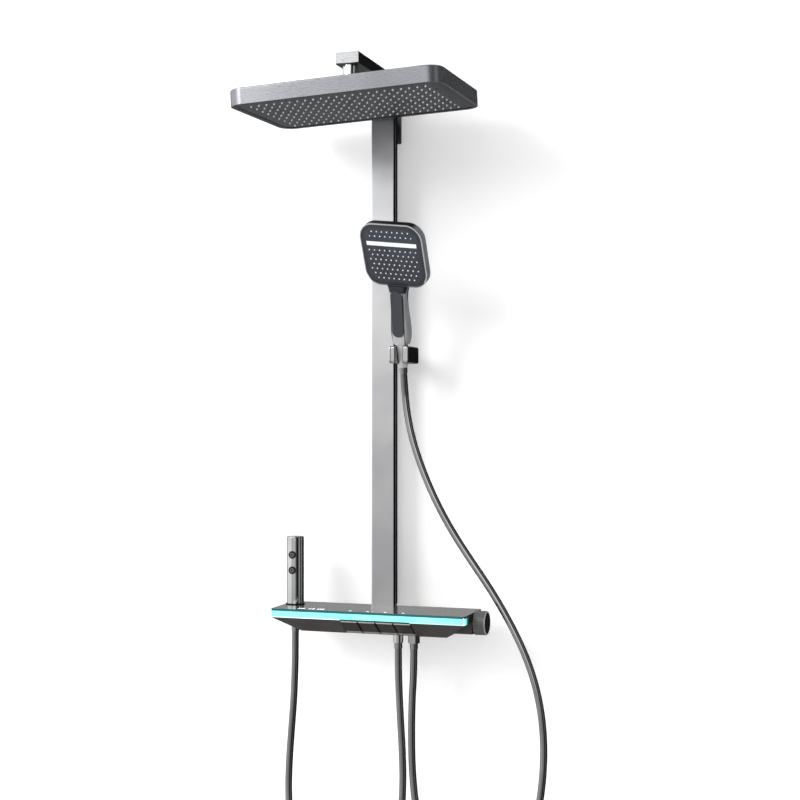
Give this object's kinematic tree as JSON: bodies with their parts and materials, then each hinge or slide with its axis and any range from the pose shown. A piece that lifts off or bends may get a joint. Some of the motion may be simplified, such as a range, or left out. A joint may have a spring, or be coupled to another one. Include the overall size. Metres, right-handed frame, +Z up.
{
  "type": "thermostatic mixer shower",
  "caption": "Wall shower: flat column with a wide overhead head, hand shower on a holder, shelf mixer with four keys, knob, light strip and a spray gun on hoses.",
  "frame": {"origin": "on the wall's surface, midway between the two water inlets", "axes": "+Z up along the column, -Y away from the wall towards the user, +X to the user's right"},
  "size_m": [0.5542, 0.3678, 1.6273],
  "materials": {
    "gunmetal": "satin metallic gunmetal coat",
    "gunmetal_trim": "polished dark steel",
    "head_shell": "plastic with a satin gunmetal coat",
    "handset_plastic": "satin charcoal plastic",
    "hull_plastic": "satin dark grey coat",
    "key_metal": "anodised, with bright bevels",
    "shelf_glass": "dark back-painted glass",
    "light_strip": "frosted light guide, lit",
    "white_strip": "gloss white",
    "black_gloss": "gloss black",
    "soft_nozzle": "soft silicone",
    "inner_plastic": "moulded",
    "brass": "machined",
    "steel": "plain",
    "hose_skin": "smooth gunmetal plastic skin"
  },
  "bodies": {
    "root": {"wall_bracket": "gunmetal", "column_tube": "gunmetal", "column_foot": "brass", "riser_pipe": "brass", "arm_joiner": "steel", "arm_tube": "gunmetal", "arm_cap": "gunmetal", "arm_outlet": "gunmetal", "holder_bracket": "gunmetal", "holder_block": "gunmetal_trim", "holder_liner": "inner_plastic", "holder_screws": "steel", "handset_hose": "hose_skin", "handset_hose_nut": "gunmetal_trim", "sprayer_hose": "hose_skin", "sprayer_hose_nut": "gunmetal_trim", "sprayer_socket": "gunmetal", "shelf_plate": "shelf_glass", "light_guide": "light_strip", "led_board": "inner_plastic", "display_module": "black_gloss", "mixer_cover": "hull_plastic", "cover_screws": "steel", "valve_body": "brass", "thermostatic_cartridge": "brass", "key_valves": "inner_plastic", "generator_housing": "inner_plastic", "inlet_unions": "brass", "inlet_nuts": "gunmetal", "rosettes": "gunmetal", "outlet_unions": "brass"},
    "head_swivel": {"ball_stem": "gunmetal"},
    "head": {"ball_nut": "gunmetal", "ball_seal": "soft_nozzle", "head_top_cover": "head_shell", "head_face_plate": "head_shell", "head_nozzle_mat": "soft_nozzle", "head_water_box": "inner_plastic", "head_gasket": "soft_nozzle", "head_screws": "steel"},
    "handset": {"handset_hose_cone": "gunmetal_trim", "handset_shell": "handset_plastic", "handset_face": "handset_plastic", "handset_nozzles": "soft_nozzle", "handset_strip": "white_strip", "handset_grip_panel": "handset_plastic"},
    "sprayer": {"sprayer_body": "gunmetal", "sprayer_cap": "gunmetal", "sprayer_valve": "inner_plastic", "sprayer_hose_cone": "gunmetal_trim"},
    "upper_button": {"sprayer_button_upper": "black_gloss"},
    "lower_button": {"sprayer_button_lower": "black_gloss"},
    "knob": {"cartridge_spindle": "brass", "temperature_knob": "gunmetal", "knob_cap": "black_gloss"},
    "key_one": {"key_1": "key_metal"},
    "key_two": {"key_2": "key_metal"},
    "key_three": {"key_3": "key_metal"},
    "key_four": {"key_4": "key_metal"},
    "rotor": {"generator_rotor": "inner_plastic"}
  },
  "joints": [
    {"name": "head_turn", "type": "hinge", "parent": "root", "child": "head_swivel", "pos_m": [0, -0.241, 1.055], "axis": [0, 0, 1], "range_deg": [-10, 10]},
    {"name": "head_tilt", "type": "hinge", "parent": "head_swivel", "child": "head", "pos_m": [0, -0.241, 1.024], "axis": [1, 0, 0], "range_deg": [-8, 8]},
    {"name": "handset_lift", "type": "slide", "parent": "root", "child": "handset", "axis": [0.0549, -0.342, 0.9381], "range_m": [0, 0.07], "deforming": ["handset_hose"]},
    {"name": "sprayer_lift", "type": "slide", "parent": "root", "child": "sprayer", "axis": [0, 0, 1], "range_m": [0, 0.06], "deforming": ["sprayer_hose"]},
    {"name": "upper_button_press", "type": "slide", "parent": "sprayer", "child": "upper_button", "axis": [0, 1, 0], "range_m": [0, 0.002], "stiffness_N_per_m": 800, "springref_m": -0.001},
    {"name": "lower_button_press", "type": "slide", "parent": "sprayer", "child": "lower_button", "axis": [0, 1, 0], "range_m": [0, 0.002], "stiffness_N_per_m": 800, "springref_m": -0.001},
    {"name": "temperature_turn", "type": "hinge", "parent": "root", "child": "knob", "pos_m": [0.2165, -0.1, 0.005], "axis": [1, 0, 0], "range_deg": [-90, 90]},
    {"name": "generator_spin", "type": "hinge", "parent": "root", "child": "rotor", "pos_m": [-0.12, -0.1, 0.005], "axis": [1, 0, 0], "continuous": true},
    {"name": "key_one_press", "type": "slide", "parent": "root", "child": "key_one", "axis": [0, 0.576, 0.8175], "range_m": [0, 0.003], "stiffness_N_per_m": 1200, "springref_m": -0.001},
    {"name": "key_two_press", "type": "slide", "parent": "root", "child": "key_two", "axis": [0, 0.576, 0.8175], "range_m": [0, 0.003], "stiffness_N_per_m": 1200, "springref_m": -0.001},
    {"name": "key_three_press", "type": "slide", "parent": "root", "child": "key_three", "axis": [0, 0.576, 0.8175], "range_m": [0, 0.003], "stiffness_N_per_m": 1200, "springref_m": -0.001},
    {"name": "key_four_press", "type": "slide", "parent": "root", "child": "key_four", "axis": [0, 0.576, 0.8175], "range_m": [0, 0.003], "stiffness_N_per_m": 1200, "springref_m": -0.001}
  ]
}
